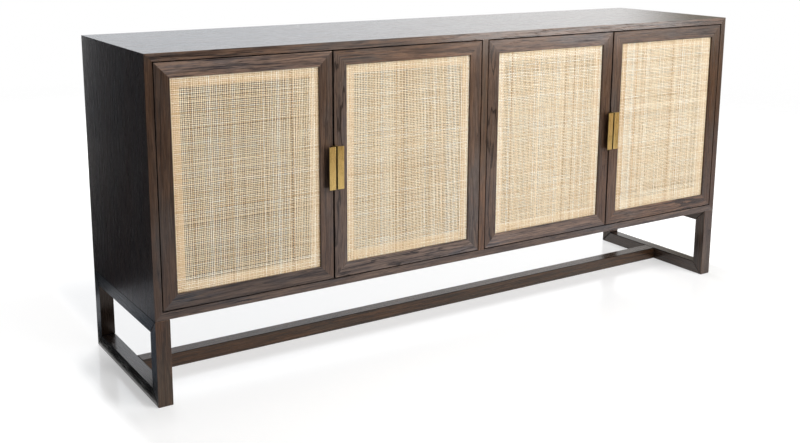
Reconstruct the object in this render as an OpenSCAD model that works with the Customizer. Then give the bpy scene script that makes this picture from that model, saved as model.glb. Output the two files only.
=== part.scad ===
// A low four-door cabinet: a mitred case with framed cane doors that turn on
// concealed pivots, standing on two open loops tied together by a low stretcher.
// X runs across the width, Y from front to back and Z up. The origin is on the
// floor, under the middle of the whole piece with its pulls.

/* [Case] */
// Width of the case
case_width = 1800; // [1400:10:2400]
// Depth of the case, without the pulls
case_depth = 440; // [340:5:600]
// Height of the case alone
case_height = 595; // [450:5:800]
// Thickness of the top, bottom, sides and divider
panel = 18; // [16:1:25]
// Thickness of the back
back_thickness = 6; // [4:1:9]
// How far the back is let into the panels round it
back_rebate = 9; // [6:1:12]

/* [Base] */
// Height from the floor to the case
base_height = 205; // [120:5:300]
// Side of the square stock that the two loops are made of
base_stock = 35; // [30:1:45]
// Width of the stretcher, seen from above
stretcher_width = 38; // [30:1:60]
// Length of the tenons at the stretcher's ends
tenon_length = 18; // [10:1:25]
// Width of the shoulder left round each tenon
tenon_shoulder = 9; // [6:1:11]
// Distance of the outer base bolts from the front and back edges
bolt_inset = 75; // [60:5:110]
// Diameter of the base bolts
bolt_diameter = 6; // [5:1:8]

/* [Doors] */
// Gap between the doors and the case
door_gap = 2.5; // [2:0.5:4]
// Gap between the two doors of a pair
meeting_gap = 4; // [2:0.5:5]
// Thickness of the door frames
door_thickness = 20; // [20:1:26]
// Width of the stiles and rails
frame_width = 35; // [32:1:60]
// Thickness of the lip in front of the cane
lip = 4; // [3:0.5:6]
// Width of the rebate behind the lip
rebate = 10; // [8:1:12]
// Radius of the eased front edges
ease = 1.5; // [0.5:0.5:2.5]

/* [Cane] */
// Thickness of the woven sheet
cane_thickness = 1.2; // [0.8:0.2:2]
// How far the sheet reaches into the rebate
cane_margin = 8; // [5:1:9]
// Width of the inner frame that lies behind the open sheet
border = 22; // [15:1:40]
// Thickness of the inner frame
inner_frame_thickness = 12; // [8:1:13]

/* [Pulls] */
// Length of a pull
pull_length = 104; // [60:2:200]
// Width of a pull's front flange
pull_width = 18; // [14:1:30]
// Distance from the door's face to the front of the flange
pull_projection = 16; // [12:1:30]
// Thickness of the pull's metal
pull_thickness = 4; // [3:0.5:5]
// Depth of the web that is let into the door's edge
pull_seat = 14; // [12:1:18]
// Radius of the pull's outer corners
pull_radius = 2; // [1:0.5:2.5]
// Distance of a pull screw from the end of the pull
pull_screw_inset = 18; // [10:1:25]

/* [Pivots] */
// Distance of a pivot from the hinge edge of its door
pivot_inset = 14; // [13:1:20]
// Distance of a pivot behind the face of its door
pivot_setback = 8; // [7:1:9]
// Diameter of the pivot pins
pin_diameter = 6; // [5:0.5:7]
// Width of the pivot plates
plate_width = 12; // [12:1:13]
// Length of the pivot plates
plate_length = 44; // [36:1:60]
// Thickness of the pivot plates
plate_thickness = 3; // [2:0.5:4]

/* [Catches] */
// Distance of a catch from the meeting edge of its door
catch_inset = 65; // [55:5:120]
// Width of a catch
catch_width = 40; // [30:1:50]
// Depth of a catch, from front to back
catch_depth = 14; // [10:1:20]
// Height of a catch
catch_height = 13; // [10:1:16]

/* [Shelves] */
// Thickness of the shelves
shelf_thickness = 18; // [15:1:25]
// Distance from the back of the doors to the front of a shelf
shelf_setback = 14; // [8:1:60]
// Distance of the pin holes from the front and back edges of a shelf
hole_inset = 45; // [30:5:80]
// Height from one pin hole to the next
hole_pitch = 32; // [25:1:50]
// Number of pin holes in each row
hole_count = 3; // [1:2:7]
// Diameter of the shelf pins
shelf_pin_diameter = 5; // [4:0.5:7]
// Length of a shelf pin on each side of the panel's face
shelf_pin_reach = 7.5; // [5:0.5:7.5]

/* [Hidden] */
$fn = 48;
running_clearance = 0.05; // round a pin that turns
fit_clearance = 0.1; // round a piece that is let in
slide_clearance = 0.5; // round a panel that is slid into its rebate
shelf_clearance = 1; // at each end and at the back of a shelf
air_gap = 0.3; // between a closed door and what it meets
cut = 1; // how far a cutter reaches past a face

front_y = (pull_projection - case_depth) / 2;
back_y = front_y + case_depth;
left_x = -case_width / 2;
top_z = base_height + case_height;
opening_width = (case_width - 3 * panel) / 2;
opening_height = case_height - 2 * panel;
door_width = (opening_width - 2 * door_gap - meeting_gap) / 2;
door_height = opening_height - 2 * door_gap;
door_bottom_z = base_height + panel + door_gap;
back_face_y = back_y - back_thickness;

rebate_start = frame_width - rebate;
cane_start = frame_width - cane_margin;
inner_start = rebate_start + slide_clearance;
inner_width = frame_width + border - inner_start;
cane_back = lip + cane_thickness;

pin_radius = pin_diameter / 2;
plate_radius = plate_width / 2;
shoulder_radius = plate_radius - 1;
pin_reach = plate_thickness - air_gap;

screw_head_radius = 3.2;
screw_radius = 1.7;
screw_head_height = 1.6;
screw_length = 19;
screw_tip = 3;

bolt_radius = bolt_diameter / 2;
bolt_head_radius = bolt_diameter;
bolt_head_height = 5;
bolt_sink = 12;
bolt_grip = 12;

strike_width = 30;
strike_height = 11;
strike_thickness = 1.5;
strike_top = 4;
catch_ease = 1.5;

shelf_front_y = front_y + door_thickness + shelf_setback;
shelf_back_y = back_face_y - shelf_clearance;
shelf_pin_radius = shelf_pin_diameter / 2;
shelf_pin_flat = shelf_pin_radius * 0.6;
shelf_pin_z = base_height + case_height / 2 - shelf_thickness / 2 - shelf_pin_flat;
hole_rows = [shelf_front_y + hole_inset, shelf_back_y - hole_inset];

wood = "#54463f";
pale_wood = "#d8bf95";
cane_colour = "#e0cba4";
brass = "#b8985a";
steel = "#9a9a98";
dark_plastic = "#3a3532";

DOORS = [1, 2, 3, 4];
DOOR_PARTS = ["hinge_stile", "meeting_stile", "top_rail", "bottom_rail", "inner_frame",
    "cane", "pull", "pull_screws", "fittings"];

// The left edge of a door, counted from 1 at the left end of the case.
function door_left(door) =
    (door <= 2 ? left_x + panel : panel / 2) + door_gap
    + (door % 2 == 0 ? door_width + meeting_gap : 0);

// Puts what is drawn for a door with its hinge on the left into the place of each
// door; the second and fourth have their hinge on the right.
module at_door(door) {
    translate([door_left(door), front_y, door_bottom_z])
        if (door % 2 == 1) children();
        else translate([door_width, 0, 0]) mirror([1, 0, 0]) children();
}

// The right-hand copy of what is drawn for the left end of the case.
module at_right_end() {
    mirror([1, 0, 0]) children();
}

// A bar that runs up Z with its outer edge on X = 0 and both ends mitred inwards.
module mitred(length, depth, inset) {
    intersection() {
        linear_extrude(length) children();
        translate([0, depth + cut, 0]) rotate([90, 0, 0])
            linear_extrude(depth + 2 * cut)
                polygon([[0, 0], [inset, inset], [inset, length - inset], [0, length]]);
    }
}

// Turns a bar that runs up Z from X = 0 into one that runs along X from Z = 0.
module laid_down() {
    mirror([1, 0, -1]) children();
}

// Turns a bar with its width along X into one with its width along Y.
module turned() {
    mirror([1, -1, 0]) children();
}

// What is cut off a square corner at the origin to round it.
module corner(radius) {
    difference() {
        translate([-cut, -cut]) square(radius + cut);
        translate([radius, radius]) circle(radius);
    }
}

// A square with all four corners rounded.
module rounded_square(size, radius) {
    difference() {
        square(size);
        corner(radius);
        translate([size[0], 0]) mirror([1, 0]) corner(radius);
        translate([0, size[1]]) mirror([0, 1]) corner(radius);
        translate(size) mirror([1, 0]) mirror([0, 1]) corner(radius);
    }
}

// Section of a case panel, from its outer face inwards, with the rebate for the back.
module panel_section() {
    difference() {
        square([panel, case_depth]);
        translate([panel - back_rebate, case_depth - back_thickness])
            square([back_rebate + cut, back_thickness + cut]);
    }
}

// Section of a door member: eased front edges, and a rebate that leaves a thin lip.
module frame_section() {
    difference() {
        square([frame_width, door_thickness]);
        translate([rebate_start, lip]) square([rebate + cut, door_thickness]);
        corner(ease);
        translate([frame_width, 0]) mirror([1, 0]) corner(ease);
    }
}

// A pivot plate's outline with the pin's centre at the origin, grown by a clearance.
module plate_outline(grow) {
    radius = plate_radius + grow;
    straight = plate_length - plate_width;
    circle(radius);
    translate([0, -radius]) square([straight, 2 * radius]);
    translate([straight, 0]) circle(radius);
}

// The hollow for a plate that lies flush in a face at Z = 0, cut downwards.
module plate_pocket() {
    translate([0, 0, -plate_thickness])
        linear_extrude(plate_thickness + cut) plate_outline(fit_clearance);
}

// A pivot's place in the plan of a door, at the height of one edge of the door.
module at_pivot(z) {
    translate([pivot_inset, pivot_setback, z]) children();
}

// Turns what is drawn for the top edge of a door over, for its bottom edge.
module upside_down() {
    mirror([0, 0, 1]) children();
}

// Pockets for the four pivot plates in one horizontal panel of the case.
module case_pockets(above) {
    for (door = DOORS)
        at_door(door)
            if (above) at_pivot(door_height + door_gap) upside_down() plate_pocket();
            else at_pivot(-door_gap) plate_pocket();
}

// A countersunk screw that goes down from Z = 0.
module screw() {
    rotate_extrude() polygon([
        [0, 0], [screw_head_radius, 0], [screw_radius, -screw_head_height],
        [screw_radius, screw_tip - screw_length], [0, -screw_length]]);
}

// The hole that such a screw needs.
module screw_hole() {
    head = screw_head_radius + fit_clearance;
    shank = screw_radius + fit_clearance;
    bottom = -screw_length - fit_clearance;
    rotate_extrude() polygon([
        [0, cut], [head, cut], [head, -fit_clearance],
        [shank, -screw_head_height - fit_clearance], [shank, bottom], [0, bottom]]);
}

// The places of the two screws of a pull, on the meeting edge of its door.
module at_pull_screws() {
    reach = pull_length / 2 - pull_screw_inset;
    for (z = [-reach, reach])
        translate([door_width, pull_seat / 2, door_height / 2 + z])
            rotate([0, 90, 0]) children();
}

// The places of the six base bolts, on the underside of the two top rails.
module at_base_bolts() {
    for (side = [-1, 1])
        for (y = [front_y + bolt_inset, front_y + case_depth / 2, back_y - bolt_inset])
            translate([side * (case_width - base_stock) / 2, y, base_height - base_stock])
                children();
}

// A bolt with its head sunk in a top rail; grown by a clearance it is the bolt's hole.
module bolt(grow) {
    tip = base_stock + bolt_grip + grow;
    cylinder(r = bolt_radius + grow, h = tip);
    translate([0, 0, bolt_sink - bolt_head_height])
        cylinder(r = bolt_head_radius + grow, h = bolt_head_height);
}

// The hole for a bolt, open downwards so that the head can be sunk.
module bolt_hole() {
    bolt(fit_clearance);
    translate([0, 0, -cut]) cylinder(r = bolt_head_radius + fit_clearance, h = bolt_sink + cut);
}

// The places of a row of pin holes or of one pin, on the faces of both bays.
module at_shelf_rows() {
    for (face = [[left_x + panel, 1], [-panel / 2, -1], [panel / 2, 1], [-left_x - panel, -1]])
        for (y = hole_rows)
            translate([face[0], y, shelf_pin_z]) rotate([0, 90 * face[1], 0]) children();
}

// Every pin hole of every row, sunk into the faces of the sides and the divider.
module pin_holes() {
    middle = (hole_count - 1) / 2;
    at_shelf_rows()
        for (step = [-middle : middle])
            translate([step * hole_pitch, 0, -shelf_pin_reach - fit_clearance])
                cylinder(r = shelf_pin_radius + running_clearance,
                         h = shelf_pin_reach + fit_clearance + cut);
}

module top_panel() {
    color(wood) difference() {
        translate([left_x, front_y, top_z]) upside_down() laid_down()
            mitred(case_width, case_depth, panel) panel_section();
        case_pockets(true);
    }
}

module bottom_panel() {
    color(wood) difference() {
        translate([left_x, front_y, base_height]) laid_down()
            mitred(case_width, case_depth, panel) panel_section();
        case_pockets(false);
        at_base_bolts() bolt_hole();
    }
}

module left_side() {
    color(wood) difference() {
        translate([left_x, front_y, base_height])
            mitred(case_height, case_depth, panel) panel_section();
        pin_holes();
    }
}

module right_side() {
    at_right_end() left_side();
}

module centre_divider() {
    color(wood) difference() {
        translate([-panel / 2, front_y, base_height + panel])
            cube([panel, case_depth - back_thickness, opening_height]);
        pin_holes();
    }
}

module back_panel() {
    side = back_rebate - slide_clearance;
    color(wood) translate([left_x + panel - side, back_face_y, base_height + panel - side])
        cube([case_width - 2 * (panel - side), back_thickness, opening_height + 2 * side]);
}

module left_shelf() {
    color(wood) translate([left_x + panel + shelf_clearance, shelf_front_y,
                           shelf_pin_z + shelf_pin_flat])
        cube([opening_width - 2 * shelf_clearance, shelf_back_y - shelf_front_y,
              shelf_thickness]);
}

module right_shelf() {
    at_right_end() left_shelf();
}

// Round pins with a flat on top, on which the shelf lies.
module shelf_pins() {
    color(steel) difference() {
        at_shelf_rows() translate([0, 0, -shelf_pin_reach])
            cylinder(r = shelf_pin_radius, h = 2 * shelf_pin_reach);
        for (shelf_x = [left_x + panel, panel / 2])
            translate([shelf_x, front_y, shelf_pin_z + shelf_pin_flat])
                cube([opening_width, case_depth, shelf_pin_radius]);
    }
}

// The fixed half of each pivot: a plate flush with the case, with a shoulder that
// keeps the door off the case, and the pin on which the door turns.
module case_pivots() {
    module pivot() {
        translate([0, 0, -plate_thickness]) linear_extrude(plate_thickness) plate_outline(0);
        cylinder(r = shoulder_radius, h = door_gap - air_gap);
        cylinder(r = pin_radius, h = door_gap + pin_reach);
    }
    color(brass)
        for (door = DOORS)
            at_door(door) {
                at_pivot(-door_gap) pivot();
                at_pivot(door_height + door_gap) upside_down() pivot();
            }
}

// Magnet blocks under the top panel, just behind the strike plates of the doors.
module catches() {
    color(dark_plastic)
        for (door = DOORS)
            at_door(door)
                translate([door_width - catch_inset - catch_width / 2,
                           door_thickness + air_gap,
                           door_height + door_gap - catch_height])
                    linear_extrude(catch_height)
                        rounded_square([catch_width, catch_depth], catch_ease);
}

// One leg of the left loop, at the front; its ends are mitred into the rails.
module loop_leg() {
    translate([left_x, front_y, 0]) turned()
        mitred(base_height, base_stock, base_stock) square(base_stock);
}

// The lower rail of the left loop.
module loop_rail() {
    translate([left_x, front_y, 0]) turned() laid_down()
        mitred(case_depth, base_stock, base_stock) square(base_stock);
}

// The mirror image of a front leg, at the back.
module at_back() {
    translate([0, front_y + back_y, 0]) mirror([0, 1, 0]) children();
}

module left_front_leg() {
    color(wood) loop_leg();
}

module left_back_leg() {
    color(wood) at_back() loop_leg();
}

module left_top_rail() {
    color(wood) difference() {
        translate([0, 0, base_height]) upside_down() loop_rail();
        at_base_bolts() bolt_hole();
    }
}

module left_bottom_rail() {
    color(wood) difference() {
        loop_rail();
        stretcher_shape(fit_clearance);
    }
}

module right_front_leg() {
    at_right_end() left_front_leg();
}

module right_back_leg() {
    at_right_end() left_back_leg();
}

module right_top_rail() {
    at_right_end() left_top_rail();
}

module right_bottom_rail() {
    at_right_end() left_bottom_rail();
}

// The stretcher between the loops, with a stub tenon at each end; the tenons are
// grown by a clearance to cut their mortises.
module stretcher_shape(grow) {
    length = case_width - 2 * base_stock;
    tenon = [length + 2 * (tenon_length + grow),
             stretcher_width - 2 * (tenon_shoulder - grow),
             base_stock - 2 * (tenon_shoulder - grow)];
    translate([0, front_y + case_depth / 2, base_stock / 2]) {
        cube([length, stretcher_width, base_stock], center = true);
        cube(tenon, center = true);
    }
}

module stretcher() {
    color(wood) stretcher_shape(0);
}

module base_bolts() {
    color(steel) at_base_bolts() bolt(0);
}

// A stile as long as the door is high, with its outer edge on X = 0.
module stile() {
    mitred(door_height, door_thickness, frame_width) frame_section();
}

// The lower rail of a door.
module rail() {
    laid_down() mitred(door_width, door_thickness, frame_width) frame_section();
}

module hinge_stile(door) {
    color(wood) at_door(door) stile();
}

module meeting_stile(door) {
    color(wood) at_door(door) difference() {
        translate([door_width, 0, 0]) mirror([1, 0, 0]) stile();
        translate([door_width - pull_thickness - fit_clearance, -cut,
                   (door_height - pull_length) / 2 - fit_clearance])
            cube([pull_thickness + fit_clearance + cut, pull_seat + fit_clearance + cut,
                  pull_length + 2 * fit_clearance]);
        at_pull_screws() screw_hole();
    }
}

module top_rail(door) {
    strike_x = door_width - catch_inset - strike_width / 2;
    color(wood) at_door(door) difference() {
        translate([0, 0, door_height]) upside_down() rail();
        at_pivot(door_height) plate_pocket();
        translate([strike_x - fit_clearance, door_thickness - strike_thickness,
                   door_height - strike_top - strike_height - fit_clearance])
            cube([strike_width + 2 * fit_clearance, strike_thickness + cut,
                  strike_height + 2 * fit_clearance]);
    }
}

module bottom_rail(door) {
    color(wood) at_door(door) difference() {
        rail();
        at_pivot(0) upside_down() plate_pocket();
    }
}

// Four pale strips mitred round the field, which press the sheet against the lip.
module inner_frame(door) {
    width = door_width - 2 * inner_start;
    height = door_height - 2 * inner_start;
    module upright() {
        mitred(height, inner_frame_thickness, inner_width)
            square([inner_width, inner_frame_thickness]);
    }
    module level() {
        laid_down() translate([0, 0, fit_clearance])
            mitred(width - 2 * fit_clearance, inner_frame_thickness, inner_width)
                square([inner_width, inner_frame_thickness]);
    }
    color(pale_wood) at_door(door) translate([inner_start, cane_back, inner_start]) {
        upright();
        translate([width, 0, 0]) mirror([1, 0, 0]) upright();
        level();
        translate([0, 0, height]) upside_down() level();
    }
}

// The woven sheet, as thick as its strands, with its margin in the rebate.
module cane(door) {
    color(cane_colour) at_door(door) translate([cane_start, lip, cane_start])
        cube([door_width - 2 * cane_start, cane_thickness, door_height - 2 * cane_start]);
}

// An angle with a rounded outer corner: the web is let into the meeting edge of the
// door and the flange stands in front of the stile, with room for the fingers behind.
module pull(door) {
    section_depth = pull_projection + pull_seat;
    color(brass) at_door(door) difference() {
        translate([door_width - pull_width, -pull_projection, (door_height - pull_length) / 2])
            intersection() {
                linear_extrude(pull_length) difference() {
                    square([pull_width, section_depth]);
                    translate([-cut, pull_thickness])
                        square([pull_width - pull_thickness + cut, section_depth]);
                    translate([pull_width, 0]) mirror([1, 0]) corner(pull_radius);
                    corner(pull_thickness / 3);
                    translate([0, pull_thickness]) mirror([0, 1]) corner(pull_thickness / 3);
                }
                translate([0, section_depth, 0]) rotate([90, 0, 0])
                    linear_extrude(section_depth) pull_face();
            }
        at_pull_screws() screw_hole();
    }
}

// A pull seen from the front: the free corners of the flange are rounded.
module pull_face() {
    difference() {
        square([pull_width, pull_length]);
        corner(pull_radius);
        translate([0, pull_length]) mirror([0, 1]) corner(pull_radius);
    }
}

module pull_screws(door) {
    color(brass) at_door(door) at_pull_screws() screw();
}

// The door's half of the two pivots, and the strike plate that the magnet holds.
module fittings(door) {
    module door_plate() {
        translate([0, 0, -plate_thickness]) linear_extrude(plate_thickness) difference() {
            plate_outline(0);
            circle(pin_radius + running_clearance);
        }
    }
    color(steel) at_door(door) {
        at_pivot(door_height) door_plate();
        at_pivot(0) upside_down() door_plate();
        translate([door_width - catch_inset - strike_width / 2,
                   door_thickness - strike_thickness,
                   door_height - strike_top - strike_height])
            cube([strike_width, strike_thickness, strike_height]);
    }
}

top_panel();
bottom_panel();
left_side();
right_side();
centre_divider();
back_panel();
left_shelf();
right_shelf();
shelf_pins();
case_pivots();
catches();
left_front_leg();
left_back_leg();
left_top_rail();
left_bottom_rail();
right_front_leg();
right_back_leg();
right_top_rail();
right_bottom_rail();
stretcher();
base_bolts();
for (door = DOORS) {
    hinge_stile(door);
    meeting_stile(door);
    top_rail(door);
    bottom_rail(door);
    inner_frame(door);
    cane(door);
    pull(door);
    pull_screws(door);
    fittings(door);
}
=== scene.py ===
import math
import random

import bpy
import numpy as np
from mathutils import Matrix, Vector


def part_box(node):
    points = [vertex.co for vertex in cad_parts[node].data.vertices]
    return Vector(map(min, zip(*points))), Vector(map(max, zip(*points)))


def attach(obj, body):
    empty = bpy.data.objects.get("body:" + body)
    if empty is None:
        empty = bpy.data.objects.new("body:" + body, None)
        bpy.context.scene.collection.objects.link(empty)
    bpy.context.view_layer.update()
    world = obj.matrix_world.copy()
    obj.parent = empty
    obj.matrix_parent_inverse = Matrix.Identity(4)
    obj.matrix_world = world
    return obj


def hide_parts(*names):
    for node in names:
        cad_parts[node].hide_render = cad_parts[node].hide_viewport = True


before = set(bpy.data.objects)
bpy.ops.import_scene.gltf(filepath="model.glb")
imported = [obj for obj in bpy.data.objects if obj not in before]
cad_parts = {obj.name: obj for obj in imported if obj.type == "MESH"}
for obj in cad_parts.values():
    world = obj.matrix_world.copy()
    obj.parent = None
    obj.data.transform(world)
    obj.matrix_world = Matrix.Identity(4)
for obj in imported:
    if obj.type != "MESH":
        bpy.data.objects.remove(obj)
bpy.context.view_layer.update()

# Camera
# It stands to the left of the cabinet at about elbow height, looks slightly down and is
# turned to the right, so that the front, the left end and the top all show.
PICTURE_WIDTH = 800
FOCAL_PIXELS = 1065.2
SENSOR_WIDTH = 36.0
LENS_DROP = -0.095
CAMERA_PLACE = (-1.6546, -2.3711, 1.0696)
CAMERA_TURN = 0.5740
CAMERA_DIP = 0.2052
CAMERA_ROLL = 0.0055


def camera_axes(turn, dip, roll):
    """The camera's right, up and backward directions, as the columns of a rotation."""
    ahead = Vector((math.sin(turn) * math.cos(dip), math.cos(turn) * math.cos(dip),
                    -math.sin(dip)))
    right = Vector((math.cos(turn), -math.sin(turn), 0.0))
    up = right.cross(ahead)
    rolled_right = right * math.cos(roll) + up * math.sin(roll)
    rolled_up = up * math.cos(roll) - right * math.sin(roll)
    return Matrix((rolled_right, rolled_up, -ahead)).transposed()


view = bpy.data.cameras.new("camera")
view.sensor_fit = "HORIZONTAL"
view.sensor_width = SENSOR_WIDTH
view.lens = FOCAL_PIXELS * SENSOR_WIDTH / PICTURE_WIDTH
view.shift_y = LENS_DROP
camera = bpy.data.objects.new("camera", view)
camera.matrix_world = (Matrix.Translation(CAMERA_PLACE)
                       @ camera_axes(CAMERA_TURN, CAMERA_DIP, CAMERA_ROLL).to_4x4())
bpy.context.scene.collection.objects.link(camera)
bpy.context.scene.camera = camera

# Base
# Two open loops of square hardwood, mitred and glued at their corners, stand at the ends
# and carry the case. All of the dark wood is stained oak with a satin lacquer, so each board
# gets that finish here with its own grain, and its arrises are rubbed paler, or painted black for
# the shade along the joints.
STAIN = (0.057, 0.0330, 0.0222)
STAIN_WARM = (0.120, 0.0690, 0.0440)
STAIN_COOL = (0.058, 0.0520, 0.0490)
STAIN_DARK = (0.0095, 0.0085, 0.0090)
# How much red a step of a board's hue takes from each of those stains, and how much blue it
# adds.
HUE_RED, HUE_BLUE = 0.10, 0.12
# Painted shade on one side of a board, and how much of it shows: near black in the gaps round the
# doors and on the bottom rails' outer faces, dark on the ends of the case, and slate on the loops'
# outer faces, where it also paints a cool reflection.
BLACK_SIDE_SHADE = ((0.004, 0.003, 0.003), 0.9)
END_SIDE_SHADE = ((0.009, 0.009, 0.011), 0.65)
SLATE_SIDE_SHADE = ((0.026, 0.031, 0.037), 0.85)
# How squarely a face must look that way before its painted shade begins and is full.
SHADED_SIDE_FACING = (0.75, 0.98)
FIBRE_ROUGHNESS = (0.22, 0.34)
FIBRE_GLOSS = 0.34
FIBRE_TINT = (1.0, 0.74, 0.60)
FIBRE_SHEEN = 0.5
LACQUER_ROUGHNESS = 0.12
FILM = 0.3
FLOOR_RAIL_FILM = 0.6
RELIEF = 0.35
RELIEF_HEIGHT = 0.0003
# The grain's layers: how far each is drawn out along the board, its scale, detail and
# roughness.
GRAIN = {"streaks": (0.045, 120.0, 4.0, 0.65), "drift": (0.16, 19.0, 3.0, 0.55),
         "patches": (0.30, 48.0, 2.0, 0.55), "veins": (0.028, 300.0, 3.0, 0.7),
         "fibres": (0.022, 640.0, 3.0, 0.6), "pores": (0.045, 800.0, 1.0, 0.55)}
# How strongly the veins and streaks show on a board that lies along each axis.
VEINS = {"x": 0.95, "y": 0.6, "z": 0.30}
STREAKS = {"x": 1.0, "y": 0.9, "z": 0.70}
# The waves in the growth rings: how far drawn out, their scale, and their reach in rings.
RING_WAVES = ((0.16, 34.0, 2.6), (0.12, 130.0, 0.5))
# Where the dark late wood of a year sets in and is full, how strong its weakest ring is, and
# how much of the late wood's colour shows; for plain and for bold figure.
LATE_WOOD = {False: (0.30, 0.90, 0.15, 0.85), True: (0.72, 0.83, 0.65, 0.95)}
YEAR_END = (0.93, 1.0)
BOLD_LINE = 0.35
ARRIS_TONE = 1.3
# Painted shade on arrises along the joints, and its low gloss.
ARRIS_SHADE_BLACK = (0.004, 0.004, 0.004)
DARK_ARRIS_GLOSS = 0.08
FACE_JOIN = 0.00002
SHARP_CORNER = math.radians(40)
LOOP_EASE = 0.0016
# How pale each board is and how far it leans from brown to grey: partly the board's own tone, and
# partly painted shade and painted sheen for how the light falls on it.
TONES_AND_PAINTED_LIGHT = {"top_panel": (1.04, 0.3), "bottom_panel": (1.14, 1.5), "back_panel": (0.8, 0.0),
         "left_side": (0.59, -0.4), "right_side": (0.50, -1.5), "centre_divider": (0.96, -1.3),
         "left_front_leg": (0.52, -1.8), "left_back_leg": (0.15, 0.0),
         "left_top_rail": (0.5, 1.0), "left_bottom_rail": (0.32, 0.8),
         "right_front_leg": (0.67, 0.9), "right_back_leg": (0.7, 0.0),
         "right_top_rail": (0.6, 0.0), "right_bottom_rail": (0.5, 0.0), "stretcher": (0.50, -2.0),
         "door_1_hinge_stile": (0.63, 0.0), "door_1_meeting_stile": (0.90, 0.2),
         "door_1_top_rail": (1.79, 1.1), "door_1_bottom_rail": (0.90, 1.6),
         "door_2_hinge_stile": (1.03, -0.1), "door_2_meeting_stile": (1.05, 1.2),
         "door_2_top_rail": (1.18, -0.2), "door_2_bottom_rail": (1.41, 1.8),
         "door_3_hinge_stile": (0.90, 0.6), "door_3_meeting_stile": (0.70, -1.0),
         "door_3_top_rail": (1.45, 1.0), "door_3_bottom_rail": (1.68, 1.4),
         "door_4_hinge_stile": (0.46, -2.6), "door_4_meeting_stile": (0.89, -0.4),
         "door_4_top_rail": (0.87, 0.2), "door_4_bottom_rail": (1.10, -0.2)}


def add(finish, kind, inputs=None, **settings):
    """Adds a node to a finish; an input is a plain value or the output of another node."""
    made = finish.node_tree.nodes.new("ShaderNode" + kind)
    for name, value in settings.items():
        setattr(made, name, value)
    for name, value in (inputs or {}).items():
        if isinstance(value, bpy.types.NodeSocket):
            finish.node_tree.links.new(value, made.inputs[name])
        else:
            made.inputs[name].default_value = value
    return made


def math_of(finish, operation, first, second=0.0, clamp=False):
    """The result of one sum on two values or outputs."""
    return add(finish, "Math", {0: first, 1: second}, operation=operation,
               use_clamp=clamp).outputs[0]


def vector_of(finish, operation, first, second=(0.0, 0.0, 0.0)):
    """The result of one sum on two places or directions."""
    return add(finish, "VectorMath", {0: first, 1: second}, operation=operation).outputs


def as_colour(value):
    """A colour with its fourth number, or the output that gives one."""
    return value if isinstance(value, bpy.types.NodeSocket) else (*value, 1.0)


def blend_of(finish, amount, first, second):
    """A colour between two colours or outputs."""
    inputs = {6: as_colour(first), 7: as_colour(second), 0: amount}
    return add(finish, "Mix", inputs, data_type="RGBA").outputs[2]


def band_of(finish, value, low, high, reach=1.0):
    """0 below low, reach above high, and a smooth rise between them."""
    ranges = {"Value": value, "From Min": low, "From Max": high, "To Max": reach}
    return add(finish, "MapRange", ranges, interpolation_type="SMOOTHSTEP").outputs[0]


def noise_of(finish, places, scale, detail=3.0, roughness=0.55):
    """Soft noise between 0 and 1 at the given places."""
    inputs = {"Vector": places, "Scale": scale, "Detail": detail, "Roughness": roughness}
    return add(finish, "TexNoise", inputs).outputs["Fac"]


def places_of(finish):
    """Where each point of the surface lies."""
    return add(finish, "TexCoord").outputs["Object"]


def parts_of(finish, places):
    """The X, Y and Z of the given places."""
    return add(finish, "SeparateXYZ", {0: places}).outputs


def stretched(finish, places, scale, move=(0.0, 0.0, 0.0)):
    """The same places, squeezed along the axes where a pattern is to run long."""
    return add(finish, "Mapping", {"Vector": places, "Scale": scale, "Location": move}).outputs[0]


def new_finish(name):
    """A material that holds only its surface shader."""
    finish = bpy.data.materials.new(name)
    finish.use_nodes = True
    return finish, finish.node_tree.nodes["Principled BSDF"]


def join(finish, output, shader, name):
    """Leads a node's output into an input of the surface shader."""
    finish.node_tree.links.new(output, shader.inputs[name])


def roughen(finish, shader, pattern, low, high, start=0.0, end=1.0):
    """Lets a pattern say how matt the surface is: low where the pattern starts, high where
    it ends."""
    ranges = {"Value": pattern, "From Min": start, "From Max": end, "To Min": low,
              "To Max": high}
    join(finish, add(finish, "MapRange", ranges).outputs[0], shader, "Roughness")


def emboss(finish, shader, pattern, strength, height):
    """Raises a pattern from the surface, and returns the bent normal."""
    bump = add(finish, "Bump", {"Height": pattern, "Strength": strength, "Distance": height})
    join(finish, bump.outputs[0], shader, "Normal")
    return bump.outputs[0]


def comb(finish, shader, along, sheen):
    """Draws the gloss out across the fibres or the brushing, which run along one axis."""
    line = add(finish, "VectorTransform", {0: along}, vector_type="VECTOR",
               convert_from="OBJECT", convert_to="WORLD").outputs[0]
    join(finish, line, shader, "Tangent")
    shader.inputs["Anisotropic"].default_value = sheen
    shader.inputs["Anisotropic Rotation"].default_value = 0.25


def lacquer(finish, shader, film, gloss=FIBRE_GLOSS, relief=None):
    """A clear film of lacquer over the wood, thin on the frames and fuller on a top."""
    shader.inputs["Specular IOR Level"].default_value = gloss
    shader.inputs["Specular Tint"].default_value = (*FIBRE_TINT, 1.0)
    shader.inputs["Coat Weight"].default_value = film
    shader.inputs["Coat Roughness"].default_value = LACQUER_ROUGHNESS
    if relief:
        join(finish, relief, shader, "Coat Normal")


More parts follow.
